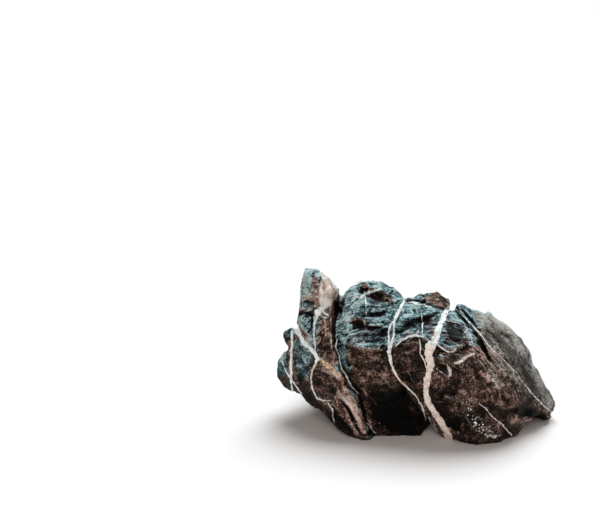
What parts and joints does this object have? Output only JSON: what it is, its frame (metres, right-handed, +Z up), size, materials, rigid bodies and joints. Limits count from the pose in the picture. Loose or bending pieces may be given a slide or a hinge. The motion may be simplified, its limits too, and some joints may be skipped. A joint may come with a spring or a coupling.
{
  "type": "seiryu stone",
  "caption": "Craggy dark blue-grey limestone with white calcite veins, an upright finger at one end and a low tail at the other, that stands on worn flat feet.",
  "frame": {"origin": "middle of the footprint of the stone's box, on the ground that it stands on", "axes": "+X along the stone's length from the finger to the tail, +Y from its front to its back, +Z up"},
  "size_m": [0.2214, 0.1258, 0.1235],
  "materials": {
    "limestone": "rough weathered dark grey limestone, teal-grey on its upper faces and brown on its upright ones, with white calcite veins"
  },
  "bodies": {
    "root": {"stone": "limestone"}
  },
  "joints": []
}
